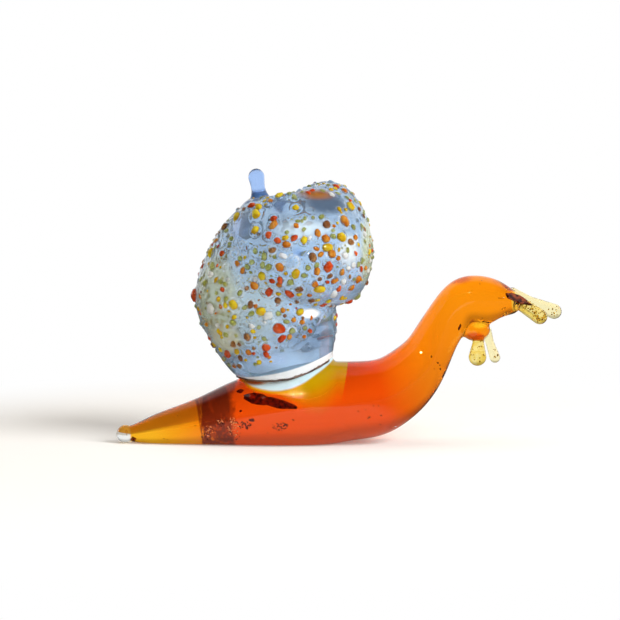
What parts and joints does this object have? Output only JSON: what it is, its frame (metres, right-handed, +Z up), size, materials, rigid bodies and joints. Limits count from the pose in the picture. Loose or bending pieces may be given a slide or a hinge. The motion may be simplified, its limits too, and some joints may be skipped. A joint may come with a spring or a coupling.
{
  "type": "snail figurine",
  "caption": "Flame-worked glass snail: flat-footed amber body with raised neck and stalks, and a coiled pale blue shell crusted with coloured grains.",
  "frame": {"origin": "on the flat face of the foot, straight under the axis of the shell", "axes": "+X along the body towards the head, +Z up from the foot, +Y to the snail's left side, away from the viewer of the picture"},
  "size_m": [0.0898, 0.0305, 0.0549],
  "materials": {
    "clear_glass": "gloss",
    "amber_glass": "gloss",
    "maroon_glass": "gloss",
    "red_amber_glass": "gloss",
    "pale_gold_glass": "gloss",
    "pale_blue_glass": "gloss",
    "yellow_frit": "gloss",
    "orange_frit": "gloss",
    "red_frit": "gloss",
    "brown_frit": "gloss",
    "white_frit": "gloss",
    "green_frit": "gloss"
  },
  "bodies": {
    "root": {"tail_bead": "clear_glass", "tail_cone": "amber_glass", "tail_band": "maroon_glass", "body": "red_amber_glass", "chin_lump": "amber_glass", "eye_stalk_near": "pale_gold_glass", "eye_stalk_far": "pale_gold_glass", "feeler_near": "pale_gold_glass", "feeler_far": "pale_gold_glass", "collar": "clear_glass", "shell_coil": "pale_blue_glass", "shell_peg": "pale_blue_glass", "frit_yellow": "yellow_frit", "frit_orange": "orange_frit", "frit_red": "red_frit", "frit_brown": "brown_frit", "frit_white": "white_frit", "frit_green": "green_frit"}
  },
  "joints": []
}
